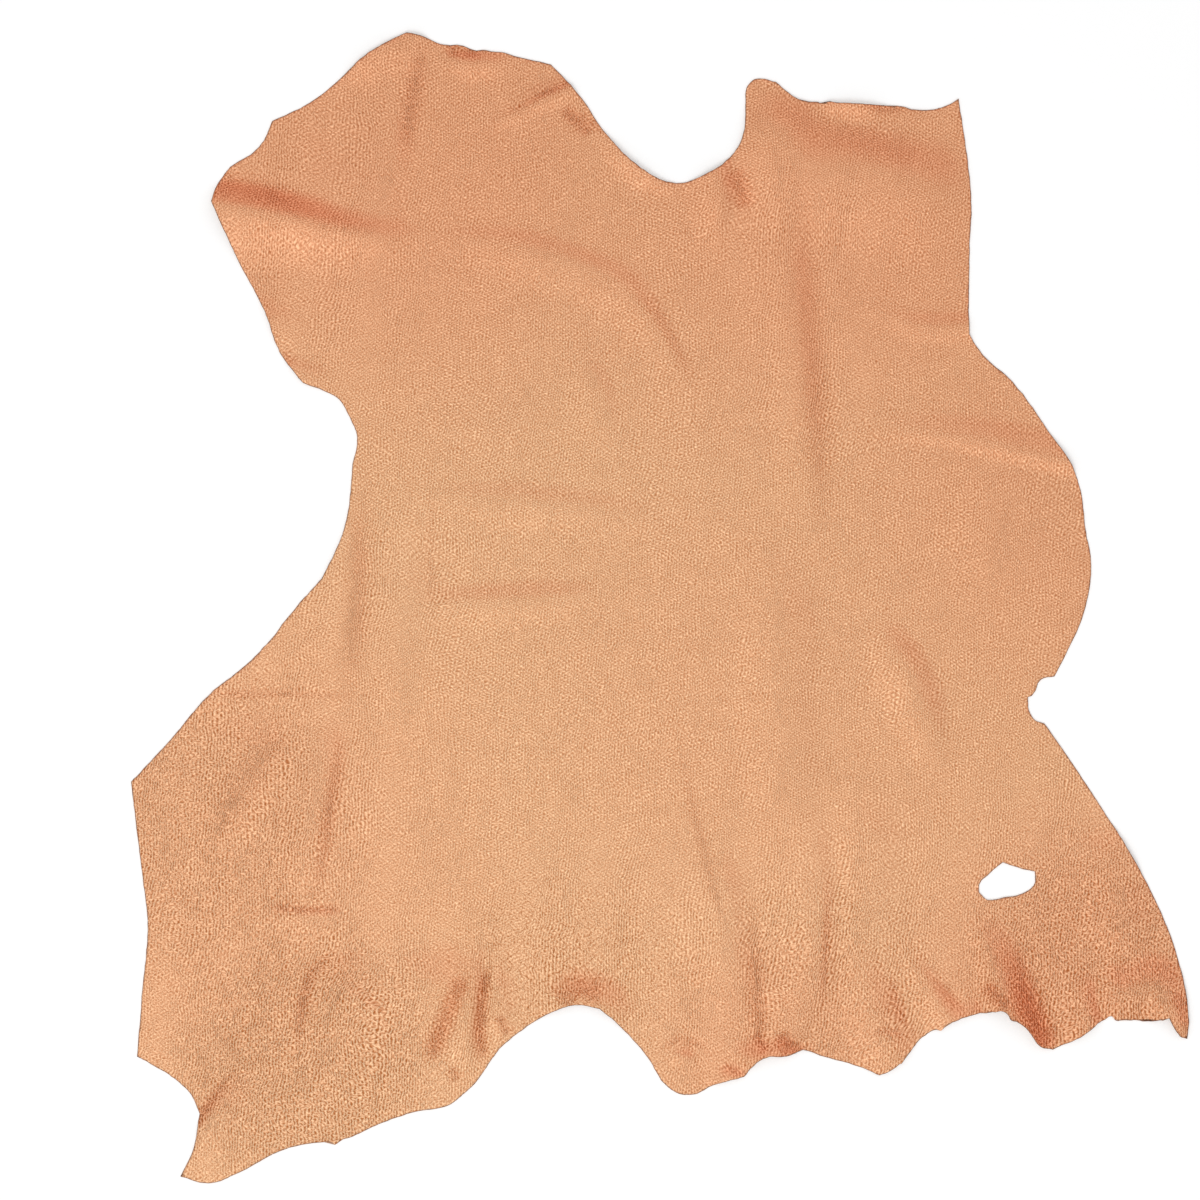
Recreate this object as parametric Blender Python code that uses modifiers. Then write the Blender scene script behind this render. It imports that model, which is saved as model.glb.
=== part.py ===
"""Leather hide: one whole tanned skin, laid out flat with its grain side up.

The skin is a single sheet, with the neck at +Y and the hind legs at -Y. Its cut edge runs round
the neck, the forelegs, the flanks, the hind legs and the tail, and one hole lies near the right
hind leg. Low folds and curled edges lift parts of the sheet, and the rest lies flat. Metres, +Z
up. The origin is on the surface that the skin lies on, under the middle of its length and width.
"""

import math
from collections import namedtuple

import bmesh
import bpy
from mathutils import Vector

MM = 0.001

# Driving dimensions
SKIN_WIDTH = 898 * MM
SKIN_LENGTH = 978 * MM
THICKNESS = 1.2 * MM
CELL = 17 * MM  # pitch of the grid of points that carries the folds
EDGE_STEPS = 4  # straight runs between two points of the cut edge
PATH_STEPS = 6  # straight runs between two points of a fold's crest
MERGE = 0.1 * MM  # points closer than this become one
TOUCH = 0.01 * MM  # a point this close to a grid line lies on it

COPPER_FINISH = (0.745, 0.371, 0.198, 1.0)  # linear RGB

Stretch = namedtuple("Stretch", "name points")

# The cut edge, clockwise from the tip of the left shoulder. Each stretch is one smooth line through
# points in millimetres, and its first point is a corner. It ends at the first point of the next.
CUT_EDGE = (
    Stretch("left neck edge", ((-215, 489), (-194, 484), (-168, 478), (-143, 473))),
    Stretch("neck, left", ((-92, 462), (-67, 434), (-47, 405), (-15, 373), (14, 361), (34, 366))),
    Stretch("neck, right", ((53, 376), (67, 392), (72, 407), (73, 429), (74, 442), (79, 448), (86, 450))),
    Stretch("right neck edge", ((99, 447), (119, 432), (150, 429), (201, 426), (227, 423), (244, 427))),
    Stretch("right shoulder", ((254, 433), (261, 387), (265, 343), (264, 317), (263, 280))),
    Stretch("right belly", ((263, 233), (274, 216), (300, 192), (330, 151), (355, 110))),
    Stretch("right flank", ((362, 66), (367, 36), (359, -9), (347, -36))),
    Stretch("bite, upper half", ((336, -58), (324, -61), (317, -74))),
    Stretch("bite, lower half", ((313, -76), (314, -87), (320, -96))),
    Stretch("right thigh", ((327, -98), (360, -146), (403, -214), (424, -254), (441, -300), (449, -346))),
    Stretch("right hind leg, tip", ((448, -366), (441, -363))),
    Stretch("right hind leg, end", ((433, -350), (402, -350), (378, -350), (356, -365))),
    Stretch("right hind leg, notch", ((334, -375), (323, -372), (312, -358), (300, -348))),
    Stretch("tail, right", ((292, -342), (272, -344), (241, -355), (223, -365), (206, -385), (196, -393))),
    Stretch("tail, end", ((187, -397), (161, -387), (142, -382))),
    Stretch("tail, left", ((122, -375), (108, -380), (88, -382))),
    Stretch("rump lobe", ((72, -398), (47, -405), (26, -414), (7, -407), (-10, -382), (-38, -351))),
    Stretch("rump bay", ((-51, -340), (-72, -337), (-91, -343), (-113, -356), (-136, -375), (-157, -404))),
    Stretch("left hind leg, inside", ((-170, -416), (-180, -423), (-207, -428), (-237, -438), (-261, -449))),
    Stretch("left hind leg, end", ((-275, -453), (-316, -459), (-362, -482), (-384, -489))),
    Stretch("left hind leg, tip", ((-407, -483), (-396, -459))),
    Stretch("left hind leg, outside", ((-391, -430), (-398, -414), (-412, -400), (-430, -389))),
    Stretch("left thigh", ((-444, -381), (-440, -330), (-435, -266), (-438, -239), (-442, -207))),
    Stretch("left flank", ((-449, -148), (-414, -110), (-380, -71), (-358, -54), (-334, -31), (-312, -3))),
    Stretch("left belly", ((-287, 25), (-275, 49), (-266, 75))),
    Stretch("left elbow", ((-261, 122), (-257, 145), (-264, 163), (-272, 177), (-284, 184))),
    Stretch("left foreleg, inside", ((-303, 191), (-323, 218), (-335, 251), (-356, 291), (-368, 317))),
    Stretch("left foreleg, tip", ((-380, 345), (-376, 359))),
    Stretch("left foreleg, end", ((-365, 375), (-340, 392))),
    Stretch("left shoulder", ((-329, 414), (-298, 429), (-271, 450), (-253, 467), (-236, 478))),
)

# The hole, clockwise from its upper left corner, in the same way.
HOLE_EDGE = (
    Stretch("top", ((292, -216), (306, -221))),
    Stretch("right", ((319, -224), (318, -236), (308, -243))),
    Stretch("bottom", ((293, -246), (279, -248))),
    Stretch("left", ((272, -242), (272, -235), (281, -225))),
)

Fold = namedtuple("Fold", "name crest left right height fullest")

# The folds and curled edges. A crest is a smooth line through points in millimetres. The sheet falls
# away from it over the left and right widths, as seen by someone who walks along the crest. The
# fold is fullest at its start, its middle or its end, or along the whole of it.
FOLDS = (
    Fold("foreleg fold", ((-394, 344), (-306, 330), (-263, 320), (-182, 309)), 27, 53, 8.5, "start"),
    Fold("foreleg swell", ((-378, 343), (-306, 328), (-212, 309)), 102, 26, 3.0, "middle"),
    Fold("neck corner curl", ((-280, 450), (-250, 473), (-210, 493)), 20, 31, 4.0, "middle"),
    Fold("shoulder ridge", ((-227, 457), (-226, 389), (-238, 296), (-249, 177)), 20, 60, 2.6, "middle"),
    Fold("neck knuckle", ((-59, 445), (-56, 434)), 22, 18, 4.0, "start"),
    Fold("neck curl", ((-54, 413), (-27, 383), (-4, 366), (22, 355)), 18, 20, 4.0, "middle"),
    Fold("neck ridge", ((46, 372), (49, 347), (45, 294)), 20, 29, 5.5, "start"),
    Fold("backbone fold", ((104, 406), (109, 313), (114, 228), (123, 126)), 20, 51, 4.5, "middle"),
    Fold("right neck fold", ((70, 435), (98, 405), (124, 372), (179, 360), (268, 330)), 44, 76, 6.0, "whole"),
    Fold("right neck curl", ((130, 434), (166, 430), (203, 428)), 18, 20, 5.0, "middle"),
    Fold("right shoulder fold", ((158, 252), (204, 244), (281, 244)), 20, 22, 2.6, "end"),
    Fold("flank fold", ((186, 153), (255, 140), (357, 124)), 26, 29, 4.0, "end"),
    Fold("flank swell", ((277, 134), (289, 58), (277, -10)), 81, 60, 2.0, "middle"),
    Fold("shoulder wave", ((-136, 313), (-51, 275), (-4, 228), (39, 156)), 22, 64, 3.0, "middle"),
    Fold("upper back wave", ((-221, 94), (-119, 91), (17, 70)), 22, 37, 2.2, "middle"),
    Fold("back wave", ((-204, 5), (-127, 7), (-34, 19)), 22, 34, 3.4, "middle"),
    Fold("belly ridge", ((-263, 100), (-263, 7), (-272, -91)), 18, 42, 2.6, "middle"),
    Fold("belly wave", ((-210, 58), (-216, -36), (-219, -129)), 60, 31, 2.4, "middle"),
    Fold("thigh fold", ((-278, -82), (-285, -146), (-299, -206), (-311, -252)), 20, 37, 4.6, "middle"),
    Fold("outer thigh fold", ((-321, -78), (-354, -150), (-391, -223)), 34, 68, 3.4, "middle"),
    Fold("hock dome", ((-233, -289), (-273, -316), (-283, -367), (-272, -427)), 68, 26, 3.0, "middle"),
    Fold("hoof fold", ((-348, -386), (-367, -416), (-386, -444)), 29, 18, 4.0, "end"),
    Fold("wedge fold", ((-149, -282), (-159, -329), (-164, -376), (-161, -410)), 18, 18, 6.5, "middle"),
    Fold("second wedge fold", ((-168, -286), (-192, -333), (-216, -384)), 26, 51, 5.0, "middle"),
    Fold("rump bay curl", ((-106, -359), (-79, -337), (-56, -337), (-25, -367)), 32, 18, 6.0, "middle"),
    Fold("tail curl", ((58, -374), (87, -389), (136, -381)), 29, 18, 7.5, "middle"),
    Fold("rump ridge", ((51, -180), (58, -274), (68, -367)), 20, 51, 2.6, "middle"),
    Fold("rump fold", ((130, -129), (136, -248), (135, -308), (114, -359)), 20, 42, 3.4, "end"),
    Fold("spine swell", ((96, 92), (104, -78), (108, -248)), 42, 51, 3.0, "middle"),
    Fold("tail fold", ((170, -257), (176, -325), (198, -380)), 32, 34, 4.6, "end"),
    Fold("tail ripple", ((208, -282), (227, -320), (249, -354)), 18, 22, 3.4, "end"),
    Fold("leg fold", ((264, -252), (284, -303), (292, -340), (335, -381)), 37, 22, 12.0, "end"),
    Fold("leg ridge", ((359, -303), (366, -337), (368, -367)), 18, 34, 5.0, "end"),
    Fold("hoof bend", ((369, -340), (400, -328), (424, -325), (444, -376)), 31, 29, 6.5, "whole"),
    Fold("hind thigh dent", ((413, -204), (374, -218), (323, -235)), 29, 37, 3.4, "start"),
    Fold("hind thigh ridge", ((378, -206), (390, -248), (402, -308)), 31, 34, 3.0, "middle"),
    Fold("right belly wave", ((181, -2), (215, -65), (237, -146)), 26, 42, 3.8, "middle"),
    Fold("foreleg ripple", ((-360, 245), (-289, 236)), 27, 29, 3.0, "start"),
)

END_SHARE = 0.4  # share of a fold's length over which it dies out at an end
NARROWEST = 0.6  # share of its width that a fold keeps where it dies out


def clear_scene():
    """Remove whatever the file holds."""
    for obj in list(bpy.data.objects):
        bpy.data.objects.remove(obj, do_unlink=True)


def collection(name):
    """A new collection in the scene."""
    new = bpy.data.collections.new(name)
    bpy.context.scene.collection.children.link(new)
    return new


def smooth_line(points, steps):
    """A Catmull-Rom line through the points, which are in millimetres, as vectors in metres."""
    knots = [Vector(point) * MM for point in points]
    knots = [2 * knots[0] - knots[1], *knots, 2 * knots[-1] - knots[-2]]
    line = []
    for before, start, end, after in zip(knots, knots[1:], knots[2:], knots[3:]):
        for step in range(steps):
            t = step / steps
            pull = (end - before) * t + (2 * before - 5 * start + 4 * end - after) * t**2
            line.append(start + (pull + (3 * start - before - 3 * end + after) * t**3) / 2)
    line.append(knots[-2])
    return line


def ease(share):
    """0 to 1 with a level start and a level end."""
    share = min(max(share, 0.0), 1.0)
    return share * share * (3 - 2 * share)


def fullness(fold, share):
    """How much of its height a fold has at this share of its crest's length."""
    if fold.fullest == "start":
        return ease((1 - share) / (2 * END_SHARE))
    if fold.fullest == "end":
        return ease(share / (2 * END_SHARE))
    if fold.fullest == "middle":
        return ease(min(share, 1 - share) / END_SHARE)
    return ease(min(share, 1 - share) / (END_SHARE / 2))


def nearest_on_crest(place, crest):
    """The distance to the crest, the share of its length there, and whether the place is on its left."""
    nearest = None
    walked = 0.0
    for start, end in zip(crest, crest[1:]):
        run = end - start
        along = min(max((place - start).dot(run) / run.length_squared, 0.0), 1.0)
        gap = place - start - along * run
        if nearest is None or gap.length < nearest[0]:
            nearest = (gap.length, walked + along * run.length, run.cross(place - start) > 0)
        walked += run.length
    distance, reached, on_left = nearest
    return distance, reached / walked, on_left


def fold_lift(fold, crest, place):
    """How far one fold lifts the sheet at a place."""
    distance, share, on_left = nearest_on_crest(place, crest)
    full = fullness(fold, share)
    width = (fold.left if on_left else fold.right) * MM * (NARROWEST + (1 - NARROWEST) * full)
    if distance >= width:
        return 0.0
    return fold.height * MM * full * (1 + math.cos(math.pi * distance / width)) / 2


def add_edge(curve, stretches):
    """Add a closed line to a curve: a corner at the start of each stretch, and smooth between corners."""
    points = [(x, y, step == 0) for stretch in stretches for step, (x, y) in enumerate(stretch.points)]
    spline = curve.splines.new("BEZIER")
    spline.bezier_points.add(len(points) - 1)
    spline.use_cyclic_u = True
    for knot, (x, y, corner) in zip(spline.bezier_points, points):
        knot.co = Vector((x, y, 0)) * MM
        knot.handle_left_type = "VECTOR" if corner else "AUTO"
        knot.handle_right_type = knot.handle_left_type


def flat_skin(group):
    """The skin's outline with its hole, filled, as one flat mesh object on the surface."""
    curve = bpy.data.curves.new("hide_edge", "CURVE")
    curve.dimensions = "2D"
    curve.fill_mode = "BOTH"
    curve.resolution_u = EDGE_STEPS
    add_edge(curve, CUT_EDGE)
    add_edge(curve, HOLE_EDGE)
    outline = bpy.data.objects.new("hide_edge", curve)
    group.objects.link(outline)
    bpy.context.view_layer.update()
    evaluated = outline.evaluated_get(bpy.context.evaluated_depsgraph_get())
    mesh = bpy.data.meshes.new_from_object(evaluated)
    skin = bpy.data.objects.new("hide", mesh)
    skin.matrix_world = outline.matrix_world
    group.objects.link(skin)
    bpy.data.objects.remove(outline, do_unlink=True)
    mesh.name = "hide"
    return skin


def on_grid_line(edge):
    """Whether an edge runs along X or Y."""
    run = edge.verts[1].co - edge.verts[0].co
    return min(abs(run.x), abs(run.y)) < TOUCH


def cross_with_grid(bm):
    """Cut the flat sheet into square cells, which carry the folds, and triangulate them."""
    for axis, size in ((Vector((1, 0, 0)), SKIN_WIDTH), (Vector((0, 1, 0)), SKIN_LENGTH)):
        lines = int(size / 2 / CELL)
        for line in range(-lines, lines + 1):
            sheet = bm.verts[:] + bm.edges[:] + bm.faces[:]
            bmesh.ops.bisect_plane(bm, geom=sheet, dist=TOUCH, plane_co=axis * line * CELL, plane_no=axis)
    spare = [edge for edge in bm.edges if not edge.is_boundary and not on_grid_line(edge)]
    bmesh.ops.dissolve_edges(bm, edges=spare, use_verts=False)
    leftover = [vert for vert in bm.verts if len(vert.link_edges) == 2 and not vert.is_boundary]
    bmesh.ops.dissolve_verts(bm, verts=leftover)
    bmesh.ops.remove_doubles(bm, verts=bm.verts[:], dist=MERGE)
    bmesh.ops.triangulate(bm, faces=bm.faces[:])


def lift_folds(bm):
    """Lift every point of the flat sheet by the folds that reach it."""
    crests = [smooth_line(fold.crest, PATH_STEPS) for fold in FOLDS]
    for vert in bm.verts:
        place = vert.co.to_2d()
        vert.co.z = sum(fold_lift(fold, crest, place) for fold, crest in zip(FOLDS, crests))


def leather():
    """Copper finish on the grain side of the skin."""
    material = bpy.data.materials.new("leather")
    material.use_nodes = True
    shader = material.node_tree.nodes["Principled BSDF"]
    shader.inputs["Base Color"].default_value = COPPER_FINISH
    shader.inputs["Metallic"].default_value = 0.35
    shader.inputs["Roughness"].default_value = 0.5
    material.diffuse_color = COPPER_FINISH
    return material


def make_hide():
    """The hide, with its flat parts on the surface and its thickness above them."""
    hide = flat_skin(collection("leather_hide"))
    bm = bmesh.new()
    bm.from_mesh(hide.data)
    bmesh.ops.remove_doubles(bm, verts=bm.verts[:], dist=MERGE)
    cross_with_grid(bm)
    lift_folds(bm)
    bmesh.ops.recalc_face_normals(bm, faces=bm.faces[:])
    if sum(face.normal.z for face in bm.faces) < 0:
        bmesh.ops.reverse_faces(bm, faces=bm.faces[:])
    bm.to_mesh(hide.data)
    bm.free()
    hide.data.materials.append(leather())
    hide.data.shade_smooth()
    sheet = hide.modifiers.new("thickness", "SOLIDIFY")
    sheet.thickness = THICKNESS
    sheet.offset = 1
    return hide


clear_scene()
make_hide()
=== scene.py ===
"""Dresses the leather hide: one whole skin with a pebbled copper finish, laid out grain side up.

The script follows the skin as it is worked: it is cut from a sheet, its folds and creases form
as it is laid down, and its three surfaces are finished. The floor, the lights and the camera come
last.
"""

import math
from collections import namedtuple

import bpy
import numpy as np
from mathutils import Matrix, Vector, kdtree, noise


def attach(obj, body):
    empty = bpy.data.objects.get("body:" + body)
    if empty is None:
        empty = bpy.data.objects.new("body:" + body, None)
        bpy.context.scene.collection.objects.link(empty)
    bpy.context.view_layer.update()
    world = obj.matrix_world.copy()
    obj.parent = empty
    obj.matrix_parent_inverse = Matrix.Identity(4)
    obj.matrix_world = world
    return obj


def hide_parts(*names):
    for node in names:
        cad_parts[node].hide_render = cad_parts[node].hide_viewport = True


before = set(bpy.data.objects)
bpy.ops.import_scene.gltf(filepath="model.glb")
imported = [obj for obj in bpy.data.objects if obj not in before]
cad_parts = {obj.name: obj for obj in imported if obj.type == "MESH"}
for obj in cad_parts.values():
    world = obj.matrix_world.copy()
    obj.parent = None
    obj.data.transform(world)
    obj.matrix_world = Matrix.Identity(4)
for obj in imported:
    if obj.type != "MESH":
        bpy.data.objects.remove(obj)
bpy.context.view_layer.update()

# ---- The skin, cut from its sheet ---------------------------------------------------------------
# A small tanned skin, 1.2 mm thick, trimmed by knife round the neck, legs, flanks and tail. The
# flayer's knife left one hole near the right hind leg. The grain side is a fine mesh, and the flesh
# side, which lies on the surface below, is a coarser one.

MM = 0.001
THICKNESS = 1.2 * MM
SKIN_WIDTH = 898 * MM
SKIN_LENGTH = 978 * MM
GRAIN_CELL = 2.8 * MM
FLESH_CELL = 5.6 * MM
SPARE = 12 * MM  # sheet past the skin on each side, which the cut takes off


def pick(obj):
    """Select one object alone, as the active one."""
    bpy.ops.object.select_all(action="DESELECT")
    obj.select_set(True)
    bpy.context.view_layer.objects.active = obj


def points_of(mesh):
    """The places of a mesh's points, one row each."""
    places = np.empty(len(mesh.vertices) * 3)
    mesh.vertices.foreach_get("co", places)
    return places.reshape(-1, 3)


def put_points(mesh, places):
    """Move a mesh's points to these places."""
    mesh.vertices.foreach_set("co", places.ravel())
    mesh.update()


def side_of_sheet(name, cell, height):
    """A flat grid of square cells, wider and longer than the skin."""
    size = (SKIN_WIDTH + 2 * SPARE, SKIN_LENGTH + 2 * SPARE)
    bpy.ops.mesh.primitive_grid_add(
        x_subdivisions=round(size[0] / cell),
        y_subdivisions=round(size[1] / cell),
        size=1,
        location=(0, 0, height),
        scale=(size[0], size[1], 1),
    )
    side = bpy.context.object
    side.name = name
    bpy.ops.object.transform_apply(location=True, rotation=True, scale=True)
    return side


bpy.ops.object.select_all(action="DESELECT")
flesh = side_of_sheet("flesh_side", FLESH_CELL, 0)
bpy.ops.object.mode_set(mode="EDIT")
bpy.ops.mesh.select_all(action="SELECT")
bpy.ops.mesh.flip_normals()
bpy.ops.object.mode_set(mode="OBJECT")
skin = side_of_sheet("hide_skin", GRAIN_CELL, THICKNESS)
flesh.select_set(True)
bpy.ops.object.join()
bpy.ops.object.mode_set(mode="EDIT")
bpy.ops.mesh.select_mode(type="EDGE")
bpy.ops.mesh.select_all(action="DESELECT")
bpy.ops.mesh.select_non_manifold()
bpy.ops.mesh.bridge_edge_loops()
bpy.ops.mesh.select_all(action="DESELECT")
bpy.ops.object.mode_set(mode="OBJECT")

# The knife is the skin's own outline and hole, as a block that passes through the sheet.
KNIFE_FOOT = -3 * MM  # where it starts, below the sheet
KNIFE_HEIGHT = 8 * MM
UNDERSIDE = -0.3  # the height of a unit normal below which a face of the solid looks down
SAME_CORNER = 0.01 * MM
SAME_POINT = 0.05 * MM

pick(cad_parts["hide"])
bpy.ops.object.duplicate()
knife = bpy.context.object
knife.parent = None
knife.name = "knife"
bpy.ops.object.mode_set(mode="EDIT")
bpy.ops.mesh.select_mode(type="FACE")
bpy.ops.mesh.select_all(action="SELECT")
bpy.ops.mesh.remove_doubles(threshold=SAME_CORNER)
bpy.ops.mesh.select_all(action="DESELECT")
bpy.ops.object.mode_set(mode="OBJECT")
for face in knife.data.polygons:
    face.select = face.normal.z > UNDERSIDE
bpy.ops.object.mode_set(mode="EDIT")
bpy.ops.mesh.delete(type="FACE")
bpy.ops.object.mode_set(mode="OBJECT")
places = points_of(knife.data)
places[:, 2] = KNIFE_FOOT
put_points(knife.data, places)
thicken = knife.modifiers.new("thicken", "SOLIDIFY")
thicken.thickness = KNIFE_HEIGHT
thicken.offset = -1
bpy.ops.object.modifier_apply(modifier="thicken")

pick(skin)
cut = skin.modifiers.new("cut", "BOOLEAN")
cut.operation = "INTERSECT"
cut.solver = "MANIFOLD"
cut.object = knife
bpy.ops.object.modifier_apply(modifier="cut")
bpy.data.objects.remove(knife, do_unlink=True)
bpy.ops.object.mode_set(mode="EDIT")
bpy.ops.mesh.select_all(action="SELECT")
bpy.ops.mesh.remove_doubles(threshold=SAME_POINT)
bpy.ops.mesh.select_all(action="DESELECT")
bpy.ops.object.mode_set(mode="OBJECT")

# The blade leaves a slightly ragged line, because thin leather gives way under it.
RAG = 0.45 * MM  # how far the cut edge wanders
RAG_PITCH = 7 * MM  # length of one wander
RAG_REACH = 6 * MM  # how far in from the edge the leather follows it
FINE_RAG = 0.6  # a second, smaller wander on it, as a share of the first
FINE_RAG_TIMES = 3  # how many of the second there are in one of the first
FINE_RAG_START = Vector((5, 5, 5))
RAG_SEED = 1  # without one, the edge would wander another way on each run
WALL = 0.5  # the height of a unit normal below which a face is the cut edge

noise.seed_set(RAG_SEED)
walls = [face for face in skin.data.polygons if abs(face.normal.z) < WALL]
edge_points = sorted({point for face in walls for point in face.vertices})
edge_tree = kdtree.KDTree(len(edge_points))
for point in edge_points:
    edge_tree.insert(skin.data.vertices[point].co.to_2d().to_3d(), point)
edge_tree.balance()
places = points_of(skin.data)
from_edge = np.array([edge_tree.find((x, y, 0))[2] for x, y in places[:, :2]])
for point in np.flatnonzero(from_edge < RAG_REACH):
    flat_place = Vector((*places[point, :2], 0))
    wander = noise.noise_vector(flat_place / RAG_PITCH)
    finer_place = FINE_RAG_TIMES * flat_place / RAG_PITCH + FINE_RAG_START
    wander += FINE_RAG * noise.noise_vector(finer_place)
    places[point, :2] += RAG * (1 - from_edge[point] / RAG_REACH) * np.array(wander[:2])

# Dips, tufts and nicks where the edge is torn, in millimetres. step is how far the leather stands
# out or back, and reach how far round it the leather follows.
Tear = namedtuple("Tear", "name x y step_x step_y reach")
TEARS = (
    Tear("neck edge dip", -186, 481, 0.8, -3.6, 15),
    Tear("second neck edge dip", -158, 475, 0.6, -2.6, 9),
    Tear("neck edge swell", -133, 470, 0.0, 1.4, 10),
    Tear("right neck nick", 138, 433, 0.0, -2.4, 4),
    Tear("right neck tuft", 145, 432, 0.5, 2.4, 4),
    Tear("right neck hem", 205, 428, 0.0, 1.6, 7),
    Tear("tail tuft", 238, -354, 1.0, -5.0, 5),
    Tear("tail tip tuft", 204, -383, -0.5, -4.0, 4),
    Tear("leg corner nick", 289, -346, -1.0, 4.0, 5),
    Tear("leg corner tuft", 297, -349, -3.0, -3.0, 5),
    Tear("hoof nick", 383, -350, 0.5, 3.5, 4),
    Tear("hoof tuft", 389, -350, 0.0, -2.5, 4),
    Tear("hoof corner nick", 432, -351, -1.5, 3.5, 4),
    Tear("heel tuft", 441, -360, 2.5, -1.5, 4),
    Tear("shank tuft", -275, -452, -1.0, -4.0, 5),
)
for tear in TEARS:
    gap = np.hypot(places[:, 0] - tear.x * MM, places[:, 1] - tear.y * MM)
    share = np.clip(1 - gap / (tear.reach * MM), 0, 1)
    places[:, 0] += share * tear.step_x * MM
    places[:, 1] += share * tear.step_y * MM
put_points(skin.data, places)

# ---- The folds it lies in -----------------------------------------------------------------------
# The skin was rolled for storage and laid out again, so low folds run through the neck, the legs
# and the rump, and long swells cross the back. Each is a soft ridge along its crest, wider on one
# side.

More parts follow.
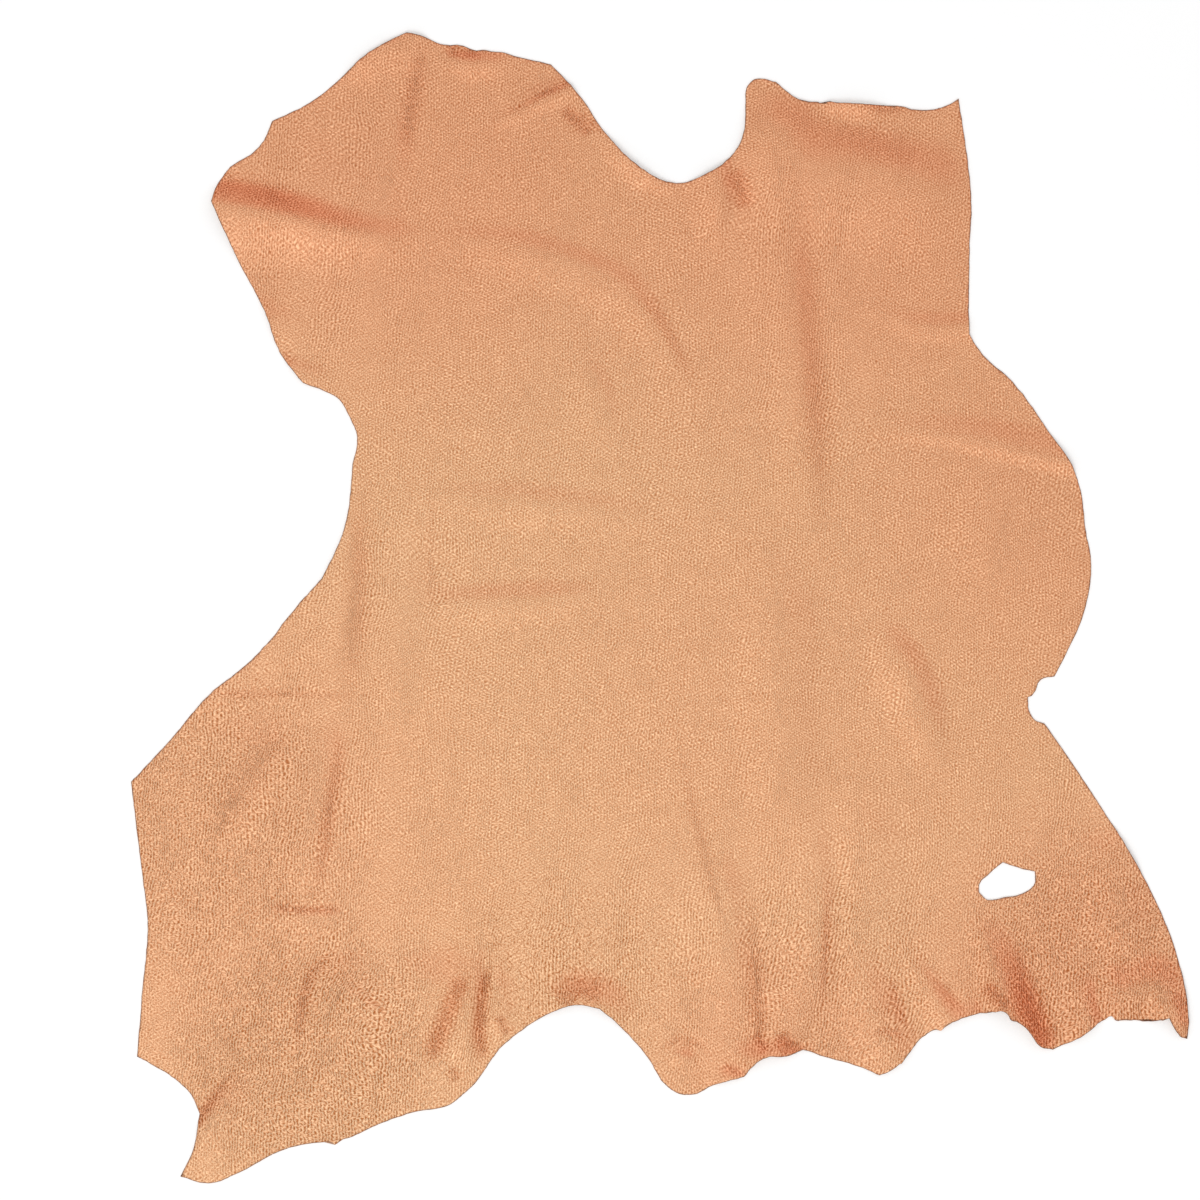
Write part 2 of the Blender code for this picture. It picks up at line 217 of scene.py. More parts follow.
# Crests are in millimetres. left and right are the reach on each side of the crest, looking along
# it, height is the rise, and fullest says which part of the crest has all of that height.
Fold = namedtuple("Fold", "name crest left right height fullest")
FOLDS = (
    Fold("foreleg fold", ((-394, 344), (-306, 330), (-263, 320), (-182, 309)), 27, 53, 8.5, "start"),
    Fold("foreleg swell", ((-378, 343), (-306, 328), (-212, 309)), 102, 26, 3.0, "middle"),
    Fold("foreleg ripple", ((-360, 245), (-289, 236)), 28, 30, 2.4, "start"),
    Fold("elbow ripple", ((-334, 204), (-263, 190)), 18, 22, 1.8, "start"),
    Fold("neck corner curl", ((-280, 450), (-250, 473), (-210, 493)), 17, 31, 4.0, "middle"),
    Fold("neck edge fold", ((-204, 491), (-214, 466), (-227, 445)), 12, 19, 3.0, "start"),
    Fold("neck edge pleat", ((-187, 468), (-157, 463), (-123, 466)), 12, 19, 2.6, "middle"),
    Fold("neck crease", ((-74, 442), (-106, 428), (-123, 417), (-157, 405)), 12, 17, 2.4, "start"),
    Fold("neck knuckle", ((-59, 445), (-56, 434)), 19, 15, 4.0, "start"),
    Fold("neck curl", ((-54, 413), (-27, 383), (-4, 366), (22, 355)), 7, 19, 4.0, "middle"),
    Fold("neck ridge", ((46, 372), (49, 347), (45, 294)), 20, 30, 5.6, "start"),
    Fold("shoulder ridge", ((-227, 457), (-226, 389), (-238, 296), (-249, 177)), 24, 60, 2.2, "middle"),
    Fold(
        "shoulder wave",
        ((-222, 314), (-130, 308), (-51, 283), (-16, 254), (14, 205), (39, 158)),
        21,
        36,
        2.5,
        "middle",
    ),
    Fold("shoulder ripple", ((-72, 224), (-48, 177), (-39, 122)), 16, 32, 1.5, "middle"),
    Fold("backbone fold", ((104, 406), (110, 313), (116, 228), (124, 126), (127, 40)), 24, 44, 3.6, "middle"),
    Fold("right neck fold", ((70, 435), (98, 405), (124, 376), (179, 368), (268, 347)), 48, 76, 6.0, "whole"),
    Fold("right neck curl", ((130, 434), (166, 430), (203, 428)), 8, 19, 5.0, "middle"),
    Fold("right shoulder fold", ((162, 266), (210, 241), (262, 238), (286, 238)), 18, 16, 2.2, "end"),
    Fold("flank fold", ((150, 150), (200, 149), (255, 143), (330, 127), (357, 121)), 30, 13, 3.6, "end"),
    Fold("flank swell", ((277, 134), (289, 58), (277, -10)), 81, 60, 2.0, "middle"),
    Fold("right belly wave", ((181, -2), (215, -65), (237, -146)), 26, 36, 4.2, "middle"),
    Fold("upper back wave", ((-221, 96), (-119, 90), (-30, 80), (17, 68)), 21, 28, 1.7, "middle"),
    Fold("back wave", ((-212, 2), (-127, 5), (-40, 13)), 21, 26, 2.7, "middle"),
    Fold("spine swell", ((96, 92), (104, -78), (108, -248)), 42, 46, 3.4, "middle"),
    Fold("belly ridge", ((-263, 100), (-263, 7), (-272, -91)), 19, 42, 2.4, "middle"),
    Fold("belly wave", ((-210, 58), (-216, -36), (-219, -129)), 60, 31, 2.4, "middle"),
    Fold("belly line", ((-399, -76), (-365, -77), (-330, -75)), 10, 22, 0.6, "start"),
    Fold("thigh fold", ((-278, -82), (-285, -146), (-299, -206), (-311, -252)), 24, 38, 4.2, "middle"),
    Fold("outer thigh fold", ((-321, -78), (-354, -150), (-391, -223)), 34, 68, 3.4, "middle"),
    Fold("hock line", ((-330, -258), (-300, -262), (-262, -262)), 14, 22, 1.0, "middle"),
    Fold("hock dome", ((-233, -289), (-273, -316), (-283, -367), (-272, -427)), 68, 26, 3.0, "middle"),
    Fold("hoof fold", ((-348, -386), (-367, -416), (-386, -444)), 29, 12, 4.0, "end"),
    Fold("wedge fold", ((-152, -282), (-161, -329), (-165, -376), (-161, -410)), 14, 24, 5.2, "middle"),
    Fold("wedge pleat", ((-141, -298), (-139, -342), (-128, -368)), 22, 12, 2.4, "middle"),
    Fold("second wedge fold", ((-168, -286), (-192, -333), (-216, -384)), 26, 51, 5.0, "middle"),
    Fold("rump bay curl", ((-106, -359), (-79, -337), (-56, -337), (-25, -367)), 32, 8, 6.0, "middle"),
    Fold("lobe knuckle", ((21, -382), (28, -389)), 10, 14, 2.4, "start"),
    Fold("lobe curl", ((41, -410), (64, -401), (81, -393)), 19, 8, 3.6, "middle"),
    Fold("tail curl", ((58, -374), (87, -389), (136, -381)), 29, 8, 7.5, "middle"),
    Fold("rump ridge", ((51, -180), (58, -274), (68, -367)), 20, 51, 2.6, "middle"),
    Fold("rump fold", ((130, -129), (136, -248), (135, -308), (114, -359)), 20, 42, 3.3, "end"),
    Fold("rump edge", ((168, -120), (171, -231), (166, -330)), 51, 24, 2.4, "middle"),
    Fold("tail fold", ((170, -257), (176, -325), (198, -380)), 32, 34, 4.6, "end"),
    Fold("tail ripple", ((208, -282), (227, -320), (249, -354)), 17, 22, 3.4, "end"),
    Fold("tail edge curl", ((268, -352), (284, -348)), 24, 24, 4.0, "start"),
    Fold("leg fold", ((264, -252), (284, -303), (293, -340), (306, -376)), 37, 22, 12.0, "end"),
    Fold("leg ridge", ((359, -303), (364, -337), (366, -367)), 14, 30, 6.6, "end"),
    Fold("hoof bend", ((369, -336), (400, -326), (424, -324), (444, -376)), 31, 25, 6.5, "whole"),
    Fold("hind thigh dent", ((413, -204), (374, -218), (323, -235)), 29, 37, 3.4, "start"),
    Fold("hind thigh ridge", ((378, -206), (390, -248), (402, -308)), 31, 34, 3.0, "middle"),
)
PATH_STEPS = 6  # straight runs between two points of a crest
END_SHARE = 0.4  # share of a fold's length over which it dies out at an end
NARROWEST = 0.6  # share of its reach that a fold keeps where it dies out
DRAW = 0.5  # how much closer together the pebbles lie across the top of a fold


def smooth_line(points):
    """A smooth line through points in millimetres, as places in metres."""
    knots = np.array(points, float) * MM
    knots = np.vstack((2 * knots[0] - knots[1], knots, 2 * knots[-1] - knots[-2]))
    line = []
    for before, start, end, after in zip(knots, knots[1:], knots[2:], knots[3:]):
        for t in np.arange(PATH_STEPS) / PATH_STEPS:
            pull = (end - before) * t + (2 * before - 5 * start + 4 * end - after) * t**2
            line.append(start + (pull + (3 * start - before - 3 * end + after) * t**3) / 2)
    line.append(knots[-2])
    return np.array(line)


def nearest_on(line, places):
    """The way from the line's nearest point to each place, the share of the line's length there,
    and whether the place is on the line's left."""
    runs = np.diff(line, axis=0)
    lengths = np.hypot(runs[:, 0], runs[:, 1])
    best = np.full(len(places), np.inf)
    away = np.zeros((len(places), 2))
    share = np.zeros(len(places))
    on_left = np.zeros(len(places), bool)
    walked = 0.0
    for start, run, length in zip(line, runs, lengths):
        out = places - start
        along = np.clip(out @ run / length**2, 0, 1)
        gap = out - along[:, None] * run
        nearer = np.hypot(gap[:, 0], gap[:, 1]) < best
        best[nearer] = np.hypot(gap[nearer, 0], gap[nearer, 1])
        away[nearer] = gap[nearer]
        share[nearer] = (walked + along[nearer] * length) / lengths.sum()
        on_left[nearer] = run[0] * out[nearer, 1] > run[1] * out[nearer, 0]
        walked += length
    return away, share, on_left


def ease(share):
    """0 to 1 with a level start and a level end."""
    share = np.clip(share, 0, 1)
    return share * share * (3 - 2 * share)


def fullness(fullest, share):
    """How much of its height a fold has at each share of its crest's length."""
    if fullest == "start":
        return ease((1 - share) / (2 * END_SHARE))
    if fullest == "end":
        return ease(share / (2 * END_SHARE))
    if fullest == "middle":
        return ease(np.minimum(share, 1 - share) / END_SHARE)
    return ease(np.minimum(share, 1 - share) / (END_SHARE / 2))


def raise_fold(fold, places, lift, drawn):
    """Add one fold's rise to lift, and to drawn how far it shifts the pattern of the grain."""
    line = smooth_line(fold.crest)
    reach = max(fold.left, fold.right) * MM
    near = np.all((places > line.min(0) - reach) & (places < line.max(0) + reach), axis=1)
    away, share, on_left = nearest_on(line, places[near])
    full = fullness(fold.fullest, share)
    width = np.where(on_left, fold.left, fold.right) * MM * (NARROWEST + (1 - NARROWEST) * full)
    out = np.clip(np.hypot(away[:, 0], away[:, 1]) / width, 0, 1)
    lift[near] += fold.height * MM * full * (1 + np.cos(math.pi * out)) / 2
    drawn[near] += away * (DRAW * full * (1 - out) ** 2)[:, None]


places = points_of(skin.data)
flat = places[:, :2].copy()
lift = np.zeros(len(flat))
drawn = np.zeros((len(flat), 2))
for fold in FOLDS:
    raise_fold(fold, flat, lift, drawn)

# ---- The fine creases and the loose skin between them --------------------------------------------
# Where the leather was bent sharply it keeps a narrow crease, mostly at the neck, the hocks and the
# tail. The rest isn't stretched, so it cockles a little. Both are in the grain side alone.

# Lines and widths are in millimetres. width is half of the crease's, and rise is below 0 in a
# furrow. A broad shallow one is a band of many small wrinkles, too fine to shape one by one.
# Each crease also darkens and reddens the foil over its width, as painted shade.
Crease = namedtuple("Crease", "name line width rise fullest")
CREASES = (
    Crease("foreleg band", ((-378, 362), (-331, 350), (-280, 331), (-195, 313)), 18, -0.6, "start"),
    Crease("foreleg corner", ((-322, 218), (-312, 204)), 9, -0.4, "whole"),
    Crease("neck streak", ((-196, 488), (-206, 455), (-213, 410), (-216, 365)), 14, -0.36, "middle"),
    Crease("neck curl mark", ((-184, 478), (-166, 472), (-148, 472)), 8, -0.6, "whole"),
    Crease("neck root wrinkles", ((-84, 426), (-70, 414), (-56, 402)), 9, -0.6, "whole"),
    Crease("neck crease mark", ((-78, 446), (-100, 436), (-121, 425), (-152, 413)), 5, -0.6, "start"),
    Crease("neck root crease", ((-69, 423), (-57, 412), (-47, 402)), 3.4, -0.5, "whole"),
    Crease("neck bay pit", ((62, 376), (68, 358), (74, 336)), 14, -0.6, "whole"),
    Crease("neck hem", ((166, 431), (190, 424), (212, 425)), 7, -0.4, "whole"),
    Crease("right neck band", ((96, 428), (130, 410), (175, 397), (238, 382)), 20, -0.2, "whole"),
    Crease("backbone band", ((117, 402), (122, 290), (130, 200), (137, 110), (139, 30)), 24, -0.25, "middle"),
    Crease("shoulder band", ((-30, 282), (-6, 256), (16, 220), (30, 185)), 9, -0.22, "middle"),
    Crease("belly band", ((-249, 140), (-254, 58), (-263, -50), (-268, -105)), 19, -0.22, "middle"),
    Crease("side mark", ((-193, 108), (-194, 40), (-192, -20)), 7, -0.12, "middle"),
    Crease("thigh band", ((-268, -92), (-278, -160), (-290, -235), (-296, -262)), 11, -0.4, "middle"),
    Crease("outer thigh band", ((-300, -82), (-325, -112), (-350, -146), (-389, -210)), 26, -0.14, "middle"),
    Crease("belly mark", ((-382, -72), (-320, -73), (-258, -75)), 6, -0.25, "whole"),
    Crease("hock mark", ((-334, -254), (-300, -256), (-266, -255)), 6, -0.45, "whole"),
    Crease("shin band", ((-268, -284), (-294, -310), (-304, -340), (-308, -384)), 9, -0.45, "middle"),
    Crease("hoof notch crease", ((-356, -384), (-374, -410), (-396, -440)), 8, -0.8, "end"),
    Crease("wedge foot", ((-164, -306), (-178, -340), (-197, -388)), 14, -0.8, "whole"),
    Crease("wedge crease", ((-145, -300), (-150, -330), (-152, -360), (-148, -390)), 8, -0.8, "whole"),
    Crease("wedge mark", ((-138, -345), (-128, -363)), 7, -0.6, "whole"),
    Crease("shank mark", ((-178, -390), (-171, -402)), 7, -0.5, "whole"),
    Crease("bay pucker", ((-88, -336), (-68, -324), (-48, -333)), 19, -0.5, "whole"),
    Crease("lobe crease", ((-6, -380), (12, -368), (34, -371), (46, -383)), 5, -0.35, "middle"),
    Crease("tail crease, left", ((80, -360), (92, -377)), 8, -0.7, "whole"),
    Crease("tail crease, right", ((98, -362), (110, -371), (122, -380)), 12, -0.75, "whole"),
    Crease("tail crease, low", ((54, -388), (70, -397)), 5, -0.5, "whole"),
    Crease("spine line", ((12, -95), (28, -165), (45, -235), (68, -310)), 8, -0.18, "middle"),
    Crease("rump band", ((76, -215), (80, -280), (84, -354)), 13, -0.35, "end"),
    Crease("rump crease", ((143, -225), (141, -290), (138, -352)), 5, -0.45, "middle"),
    Crease("tail pad crease", ((176, -368), (187, -359), (202, -360), (210, -371)), 5, -0.4, "middle"),
    Crease("tail groove", ((196, -305), (202, -333), (213, -365)), 7, -0.4, "middle"),
    Crease("tail corner", ((276, -318), (296, -341)), 10, -0.7, "whole"),
    Crease("leg groove", ((232, -314), (246, -328), (261, -343)), 7, -0.33, "middle"),
    Crease("leg band", ((298, -276), (305, -310), (313, -338), (322, -362)), 22, -0.95, "end"),
    Crease("hoof band", ((436, -322), (444, -340), (450, -364)), 8, -0.5, "whole"),
)
COCKLE = 0.35 * MM  # how far the loose skin rises and falls
COCKLE_PITCH = 34 * MM
PUCKER = 0.25 * COCKLE  # a finer cockle on it
PUCKER_PITCH = 12 * MM
PUCKER_LAYER = 0.2  # sets its pattern apart from the first
DEEPEST = -0.5 * THICKNESS  # how deep a crease can press the grain side

relief = np.zeros(len(flat))
for crease in CREASES:
    width = crease.width
    as_fold = Fold(crease.name, crease.line, width, width, crease.rise, crease.fullest)
    raise_fold(as_fold, flat, relief, drawn)
# How deep each point lies in a crease: it presses the pebbles deeper there, and sets the painted shade that
# darkens and reddens the foil.
crease_and_shade = np.clip(-relief / MM, 0, 1)
for point, (x, y) in enumerate(flat):
    wave = noise.noise(Vector((x, y, 0)) / COCKLE_PITCH)
    ripple = noise.noise(Vector((x, y, PUCKER_LAYER)) / PUCKER_PITCH)
    relief[point] += COCKLE * wave + PUCKER * ripple

on_grain = places[:, 2] > THICKNESS / 2
relief = np.maximum(relief, DEEPEST)
places[:, 2] += lift + np.where(on_grain, relief, 0)
put_points(skin.data, places)

# ---- The grain side: pebbled leather with a copper foil finish ----------------------------------
# Plated with a pebble pattern, then covered with a thin copper foil. The tops of the pebbles are
# pale and the gaps between them dark and red, partly the foil's own two tones and partly painted
# highlight on the tops and painted shade in the gaps. The pebbles are coarser on the legs, the rump
# and along the back. The side of each fold that turns away from the key light, towards the neck, is
# painted redder and the creases darker and redder, both as painted shade.

PEBBLE = 2.4 * MM  # from one top to the next
LEG_PEBBLE = 2.5 * MM
LEG_LONGER = 1.5  # how much longer than wide the pebbles of the legs are
ROW_PITCH = 0.8  # how close the rows of pebbles lie
ROW_OFFSET = 0.5  # how far each row is set off from the next
ACROSS = 0.25  # the height of the waves across the rows, and how much of it a longer pebble adds
ACROSS_LONGER = 0.15
SLANTED = 0.3  # the height of each of the two slanted waves
ROWS = 0.9  # how much of a pebble's height comes from the rows
CHANCE = 2.0  # and how much from chance
CHANCE_PITCH = 0.5  # of a pebble's width
ROUND_TOP = 0.3  # makes the tops broader than the gaps between them
LEVEL = 0.06  # brings the mean height of the pebbles back to 0
PATTERN_TURN = 0.1  # how far the rows lie off the length of the skin, in radians
WIDE_PULL = (150 * MM, 25 * MM)  # how soft leather draws the rows about: pitch and reach
PULL = (20 * MM, 5 * MM)
FINE_PULL = (4 * MM, 1.8 * MM)

# Depths are shares of PEBBLE_DEPTH, and in a crease the pebbles have all of it as well.
PEBBLE_DEPTH = 0.40 * MM
BODY_DEPTH = 0.4
LEG_DEPTH = 0.4
PRESS_PATCH = 40 * MM  # from one patch that the plate pressed deeper to the next
PRESS_LEAST = 0.7
PRESS_MORE = 0.6

# The crackle by the bay: cells this wide, drawn about, with a narrow sunk line round each.
CRACK_PITCH = 9 * MM
CRACK_PULL = (12 * MM, 9 * MM)
CRACK_STEEPNESS = 14
CRACK_DEPTH = 0.4

# A tone of 0 is the deep foil and 1 the pale one. The tops are paler than the mean by
# TOP_HIGHLIGHT_TONE and the gaps darker: partly the foil's own tones, partly painted highlight and
# painted shade on the pebbles.
FOIL_DEEP = (0.43, 0.12, 0.012, 1)
FOIL_PALE = (1.0, 0.622, 0.358, 1)
MID_TONE = 0.575
TOP_HIGHLIGHT_TONE = 0.48
LEG_TOP_HIGHLIGHT_TONE = 0.36  # more on the legs
CREASE_TOP_HIGHLIGHT_TONE = 0.36  # and in creases
LEG_PALER = 0.04
# Painted shade: the creases are this much darker.
CREASE_SHADE_DARKER = 0.13
PATCH = 14 * MM
PATCH_TONE = 0.09
FOIL_ROUGHNESS = 0.52
TOP_GLOSS = 0.08  # how much less rough the tops are

# Tints that the foil is multiplied by.
# Redder away from the middle of the skin: partly the foil's own colour, and partly painted light, since the
# paler middle stands for the sheen of the overhead softbox.
FOIL_RUDDY_BEYOND_SHEEN = (1.0, 0.78, 0.75, 1)
# Painted shade: the side of a fold turned away from the key light is tinted redder, by how far it turns.
FOIL_LEE_SHADE = (1.08, 0.88, 0.84, 1)
# Painted shade: the creases are tinted this much redder.
CREASE_SHADE_RED = (1.0, 0.8, 0.73, 1)
RIM = 1.0 * MM  # how far in from the cut the foil has rubbed off
RIM_BROWN = (0.22, 0.085, 0.04, 1)

# Each zone is a round patch with its middle and reach in millimetres, which dies out to its rim.
Zone = namedtuple("Zone", "name x y reach share")
COARSE_ZONES = (
    Zone("left thigh", -390, -190, 250, 0.88),
    Zone("left hind leg", -300, -380, 210, 1.0),
    Zone("rump", -40, -320, 180, 0.65),
    Zone("tail", 150, -330, 200, 0.8),
    Zone("right hind leg", 370, -300, 210, 1.0),
    Zone("left foreleg", -350, 300, 220, 0.5),
    Zone("backbone", 120, 320, 100, 0.5),
    Zone("mid back", 130, 210, 90, 0.45),
    Zone("belly", -255, 20, 110, 0.4),
)
# Where the foil is redder, away from the paler middle: partly its own colour, partly painted light in place
# of the overhead softbox's sheen.
RUDDY_BEYOND_SHEEN_ZONES = (
    Zone("left shoulder", -230, 430, 360, 0.65),
    Zone("neck", 0, 400, 300, 0.5),
    Zone("right shoulder", 190, 430, 430, 0.65),
    Zone("left foreleg", -380, 330, 200, 0.6),
    Zone("right flank", 400, 150, 380, 0.5),
    Zone("loin", 160, -70, 330, 0.2),
    Zone("right hind leg", 400, -340, 280, 0.55),
    Zone("tail", 110, -390, 170, 0.4),
    Zone("left thigh", -400, -200, 330, 0.3),
)
CRACKED_ZONES = (Zone("bay", -105, -300, 110, 1.0), Zone("bay's far side", -30, -300, 70, 0.7))


class Wire:
    """One output of a material's nodes. Sums on it add the nodes that work them out."""

    def __init__(self, tree, socket):
        self.tree = tree
        self.socket = socket

    def node(self, kind, settings, inputs, output=0):
        """Add a node with its settings, then the values or wires of its inputs."""
        node = self.tree.nodes.new(kind)
        for name, value in settings.items():
            setattr(node, name, value)
        for name, value in inputs.items():
            if isinstance(value, Wire):
                self.tree.links.new(value.socket, node.inputs[name])
            else:
                node.inputs[name].default_value = value
        return Wire(self.tree, node.outputs[output])

    def math(self, operation, first, second):
        """One step of arithmetic."""
        return self.node("ShaderNodeMath", {"operation": operation}, {0: first, 1: second})

    def __add__(self, other):
        return self.math("ADD", self, other)

    def __sub__(self, other):
        return self.math("SUBTRACT", self, other)

    def __rsub__(self, other):
        return self.math("SUBTRACT", other, self)

    def __mul__(self, other):
        return self.math("MULTIPLY", self, other)

    __radd__ = __add__
    __rmul__ = __mul__

    def limited(self):
        """The same value, kept between 0 and 1."""
        return self.node("ShaderNodeClamp", {}, {"Value": self})

    def moved(self, way):
        """A place moved by a way, which is a vector wire or three numbers."""
        return self.node("ShaderNodeVectorMath", {"operation": "ADD"}, {0: self, 1: way})

    def scaled(self, size):
        """A vector times a number."""
        return self.node("ShaderNodeVectorMath", {"operation": "SCALE"}, {0: self, "Scale": size})

    def drawn(self, pitch, reach):
        """These places drawn about at random, as soft leather is, up to half a reach each way."""
        return self.moved(self.noise(pitch, 1.0, 1).moved((-0.5, -0.5, 0)).scaled(reach))

    def noise(self, pitch, detail=2.0, output=0):
        """Cloudy noise at these places. Output 1 is three of them as a colour."""
        settings = {"noise_dimensions": "2D"}
        inputs = {"Vector": self, "Scale": 1 / pitch, "Detail": detail}
        return self.node("ShaderNodeTexNoise", settings, inputs, output)

    def wave(self, pitch):
        """A wave between -1 and 1, this long from top to top."""
        return self.node("ShaderNodeMath", {"operation": "SINE"}, {0: self * (2 * math.pi / pitch)})

    def pebbles(self, width, longer=1.0):
        """Domes this wide in staggered rows, near 1 on their tops and near -1 between them."""
        across = self.node("ShaderNodeSeparateXYZ", {}, {"Vector": self}, 0)
        along = self.node("ShaderNodeSeparateXYZ", {}, {"Vector": self}, 1) * (ROW_PITCH / longer)
        one_way = (ROW_OFFSET * across + along).wave(width)
        other_way = (along - ROW_OFFSET * across).wave(width)
        rows = (ACROSS + ACROSS_LONGER * longer) * across.wave(width)
        rows = rows + SLANTED / longer * (one_way + other_way)
        domes = ROWS * rows + CHANCE * (self.noise(CHANCE_PITCH * width, 0.0) - 0.5)
        return domes + ROUND_TOP * domes * domes - LEVEL

    def shade(self, share, first, second, way="MIX"):
        """A colour between two colours."""
        settings = {"data_type": "RGBA", "blend_type": way}
        return self.node("ShaderNodeMix", settings, {0: share, 6: first, 7: second}, 2)

    def mark(self, name):
        """A number that the mesh keeps for each of its points."""
        return self.node("ShaderNodeAttribute", {"attribute_name": name}, {}, 2)


def finish(name, **numbers):
    """A new material, its Principled shader, and the map of the skin's grain to start from."""
    material = bpy.data.materials.new(name)
    material.use_nodes = True
    tree = material.node_tree
    shader = tree.nodes["Principled BSDF"]
    for socket, value in numbers.items():
        shader.inputs[socket.replace("_", " ")].default_value = value
    uv = tree.nodes.new("ShaderNodeUVMap")
    uv.uv_map = "Grain"
    return material, shader, Wire(tree, uv.outputs["UV"])


def wear(shader, wire, socket):
    """Feed a wire into one socket of a shader."""
    wire.tree.links.new(wire.socket, shader.inputs[socket])


copper, shader, spot = finish("copper_grain", Metallic=0.35)
coarse = spot.mark("coarse")
crease_and_shade_share = spot.mark("crease_and_shade")
pulled = spot.drawn(*WIDE_PULL).drawn(*PULL).drawn(*FINE_PULL)
pulled = pulled.node(
    "ShaderNodeVectorRotate",
    {"rotation_type": "Z_AXIS"},
    {"Vector": pulled, "Angle": PATTERN_TURN},
)
fine_tops = pulled.pebbles(PEBBLE)
large_tops = pulled.pebbles(LEG_PEBBLE, LEG_LONGER)
height = fine_tops + coarse * (large_tops - fine_tops)
cracks = spot.node(
    "ShaderNodeTexVoronoi",
    {"voronoi_dimensions": "2D", "feature": "DISTANCE_TO_EDGE"},
    {"Vector": spot.drawn(*CRACK_PULL), "Scale": 1 / CRACK_PITCH},
)
cracked = (1 - CRACK_STEEPNESS * cracks).limited() * spot.mark("cracked")
height = height - CRACK_DEPTH * cracked
pressed = coarse * LEG_DEPTH + BODY_DEPTH + crease_and_shade_share
depth = pressed * (spot.noise(PRESS_PATCH) * PRESS_MORE + PRESS_LEAST) * PEBBLE_DEPTH
patches = spot.noise(PATCH)
# Pale tops and dark gaps: partly the foil's own tones, partly painted highlight and painted shade on the
# pebbles.
top_highlight_tone = coarse * LEG_TOP_HIGHLIGHT_TONE + TOP_HIGHLIGHT_TONE + CREASE_TOP_HIGHLIGHT_TONE * crease_and_shade_share
tone = MID_TONE + top_highlight_tone * height + LEG_PALER * coarse
# Painted shade darkens the creases; the patches are the foil's own uneven tone.
tone = tone - CREASE_SHADE_DARKER * crease_and_shade_share + PATCH_TONE * (patches - 0.5)
colour = spot.shade(tone.limited(), FOIL_DEEP, FOIL_PALE)
# Redder away from the middle: partly the foil's own colour, partly painted light.
colour = spot.shade(spot.mark("ruddy_beyond_sheen"), colour, FOIL_RUDDY_BEYOND_SHEEN, "MULTIPLY")
# Painted shade: redder on the side of each fold turned away from the key light.
colour = spot.shade(spot.mark("lee_shade"), colour, FOIL_LEE_SHADE, "MULTIPLY")
# Painted shade: redder in the creases.
colour = spot.shade(crease_and_shade_share, colour, CREASE_SHADE_RED, "MULTIPLY")
bare_rim = (1 - spot.mark("from_edge") * (1 / RIM)).limited()
wear(shader, spot.shade(bare_rim, colour, RIM_BROWN), "Base Color")
wear(shader, (FOIL_ROUGHNESS - TOP_GLOSS * height).limited(), "Roughness")
bump = spot.node("ShaderNodeBump", {}, {"Strength": 1, "Distance": 1, "Height": height * depth})
wear(shader, bump, "Normal")

# ---- The flesh side and the cut edge ------------------------------------------------------------
# The flesh side has no foil: it is tan suede with a short nap. The cut edge shows the same tan
# leather, a little darker, with loose fibres.

SUEDE_DARK = (0.42, 0.25, 0.155, 1)
SUEDE_LIGHT = (0.56, 0.37, 0.245, 1)
NAP = 1.6 * MM  # width of one tuft
NAP_DEPTH = 0.25 * MM
BRUSHED = 45 * MM  # from one brushed patch to the next
BRUSHED_TONE = 0.7
NAP_TONE = 0.5
SUEDE_DARKER = 0.1
RAW_DARK = (0.33, 0.15, 0.085, 1)
RAW_LIGHT = (0.62, 0.36, 0.22, 1)
FIBRE = 1.1 * MM
FIBRE_DEPTH = 0.2 * MM

suede, shader, spot = finish("suede_flesh", Roughness=0.92)
nap = spot.noise(NAP, 3.0)
brushed = spot.noise(BRUSHED, 3.0)
tone = BRUSHED_TONE * brushed + NAP_TONE * nap - SUEDE_DARKER
wear(shader, spot.shade(tone.limited(), SUEDE_DARK, SUEDE_LIGHT), "Base Color")
bump = spot.node("ShaderNodeBump", {}, {"Strength": 1, "Distance": NAP_DEPTH, "Height": nap})
wear(shader, bump, "Normal")

raw, shader, spot = finish("raw_edge", Roughness=0.85)
fibres = spot.noise(FIBRE, 3.0)
wear(shader, spot.shade(fibres, RAW_DARK, RAW_LIGHT), "Base Color")
bump = spot.node("ShaderNodeBump", {}, {"Strength": 1, "Distance": FIBRE_DEPTH, "Height": fibres})
wear(shader, bump, "Normal")

# What the skin keeps for each of its points, for the foil to follow, and its two maps.
# The way away from the key light, which is also towards the neck, for the painted shade on folds.
AWAY_FROM_KEY = (0.4, 0.9, 0)
LEE_SHADE_RAMP = 3.3  # how fast the painted shade comes on as the surface turns that way
LEE_SHADE_START = 0.1
ZONE_FULLNESS = 1.4  # above 1, a zone is at its full share some way out from its middle
SHARP = math.radians(55)  # a corner sharper than this isn't smoothed


def spread(zones):
    """How far each point of the skin is in one of these zones."""
    most = np.zeros(len(flat))
    for zone in zones:
        gap = np.hypot(flat[:, 0] - zone.x * MM, flat[:, 1] - zone.y * MM)
        most = np.maximum(most, zone.share * ease(ZONE_FULLNESS * (1 - gap / (zone.reach * MM))))
    return most


normals = np.array([point.normal for point in skin.data.vertices])
# How far each point's surface turns away from the key light, for the painted shade on the lee side of each
# fold.
turned_from_key = normals @ AWAY_FROM_KEY
marks = {
    "crease_and_shade": crease_and_shade,
    "lee_shade": np.clip(LEE_SHADE_RAMP * turned_from_key - LEE_SHADE_START, 0, 1),
    "coarse": spread(COARSE_ZONES),
    "ruddy_beyond_sheen": spread(RUDDY_BEYOND_SHEEN_ZONES),
    "cracked": spread(CRACKED_ZONES),
    "from_edge": from_edge,
}
for name, share in marks.items():
    mark = skin.data.attributes.new(name, "FLOAT", "POINT")
    mark.data.foreach_set("value", share.astype(np.float32))

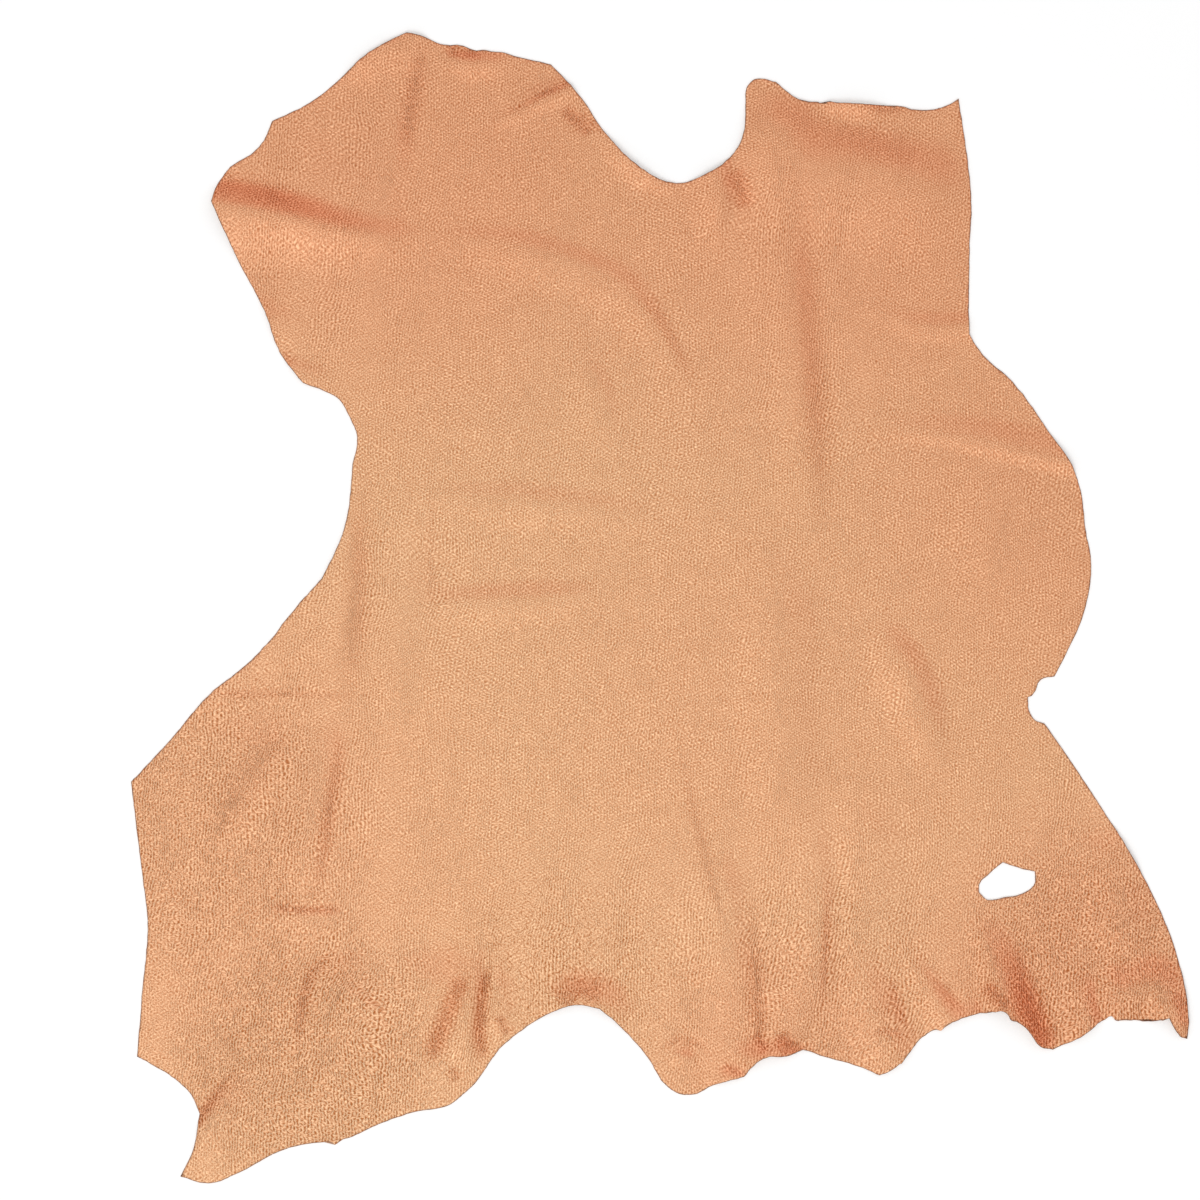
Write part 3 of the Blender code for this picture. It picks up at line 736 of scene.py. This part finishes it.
GRAIN_SIDE, FLESH_SIDE, CUT_EDGE = range(3)
skin.data.materials.clear()
for material in (copper, suede, raw):
    skin.data.materials.append(material)
corners = np.array([loop.vertex_index for loop in skin.data.loops])
grain_map = skin.data.uv_layers.new(name="Grain")
grain_map.data.foreach_set("uv", (flat + drawn)[corners].astype(np.float32).ravel())
on_top = on_grain.tolist()
for face in skin.data.polygons:
    tops_in_face = sum(on_top[point] for point in face.vertices)
    face.material_index = CUT_EDGE
    if tops_in_face == 0:
        face.material_index = FLESH_SIDE
    elif tops_in_face == len(face.vertices):
        face.material_index = GRAIN_SIDE

# The second map: the grain side as it lies, its cut edge as a strip round it, and the flesh side
# smaller, turned over, in the free corner by the right shoulder.
BAKE_SIDE = 1015 * MM  # what the whole map covers
EDGE_STRIP = 2 * MM
FLESH_SHARE = 0.235  # how large the flesh side is on the map
FLESH_PLACE = (390 * MM, 370 * MM)
SHORTEST = 0.001  # stands in for the length of a normal that points straight up

surface = np.array([face.material_index for face in skin.data.polygons for _ in face.vertices])
outward = normals[corners, :2]
outward /= np.maximum(np.hypot(*outward.T), SHORTEST)[:, None]
laid = flat[corners]
below = surface == FLESH_SIDE
laid[below] = laid[below] * (-FLESH_SHARE, FLESH_SHARE) + FLESH_PLACE
strip = (surface == CUT_EDGE) & ~on_grain[corners]
laid[strip] += EDGE_STRIP * outward[strip]
bake_map = skin.data.uv_layers.new(name="OFBake")
bake_map.data.foreach_set("uv", (0.5 + laid / BAKE_SIDE).astype(np.float32).ravel())

pick(skin)
bpy.ops.object.shade_smooth_by_angle(angle=SHARP)
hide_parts("hide")
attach(skin, "root")

# ---- The floor it lies on -----------------------------------------------------------------------
# A plain white studio floor, matt and a little lit of itself, which runs well past the skin on all
# sides. The skin lies loose on it, held by nothing.

FLOOR_SIZE = 40
FLOOR_WHITE = (0.9, 0.9, 0.9, 1)
FLOOR_ROUGHNESS = 0.9
FLOOR_GLOW = 0.15

bpy.ops.object.select_all(action="DESELECT")
bpy.ops.mesh.primitive_plane_add(size=FLOOR_SIZE, location=(0, 0, 0))
floor = bpy.context.object
floor.name = "floor"
white = bpy.data.materials.new("white_floor")
white.use_nodes = True
paint = white.node_tree.nodes["Principled BSDF"]
paint.inputs["Base Color"].default_value = FLOOR_WHITE
paint.inputs["Roughness"].default_value = FLOOR_ROUGHNESS
paint.inputs["Emission Color"].default_value = (1, 1, 1, 1)
paint.inputs["Emission Strength"].default_value = FLOOR_GLOW
floor.data.materials.append(white)

# ---- The lights and the camera ------------------------------------------------------------------
# A white room, a wide softbox overhead, and a key light high on the hind side, a little to the
# left. The camera looks straight down through a long lens.

Softbox = namedtuple("Softbox", "name place aim size watts")
SOFTBOXES = (
    Softbox("overhead", (-0.25, -0.3, 2.7), (-0.13, -0.11, 0), 1.6, 10),
    Softbox("key", (-1.8, -4.2, 5.8), (-0.05, 0, 0), 3.0, 135),
)
ROOM_LIGHT = 0.68
CAMERA_PLACE = (-0.0506, 0.0068, 2.409)
LENS = 85
FILM_WIDTH = 36
FARTHEST = 20

world = bpy.data.worlds.new("white_room")
world.use_nodes = True
world.node_tree.nodes["Background"].inputs["Color"].default_value = (1, 1, 1, 1)
world.node_tree.nodes["Background"].inputs["Strength"].default_value = ROOM_LIGHT
bpy.context.scene.world = world
for softbox in SOFTBOXES:
    bpy.ops.object.light_add(type="AREA", location=softbox.place)
    lamp = bpy.context.object
    lamp.name = softbox.name
    lamp.data.size = softbox.size
    lamp.data.energy = softbox.watts
    lamp.rotation_euler = (Vector(softbox.aim) - lamp.location).to_track_quat("-Z", "Y").to_euler()

bpy.ops.object.camera_add(location=CAMERA_PLACE, rotation=(0, 0, 0))
camera = bpy.context.object
camera.name = "camera"
camera.data.lens = LENS
camera.data.sensor_width = FILM_WIDTH
camera.data.clip_end = FARTHEST
bpy.context.scene.camera = camera
bpy.context.scene.view_settings.view_transform = "Standard"
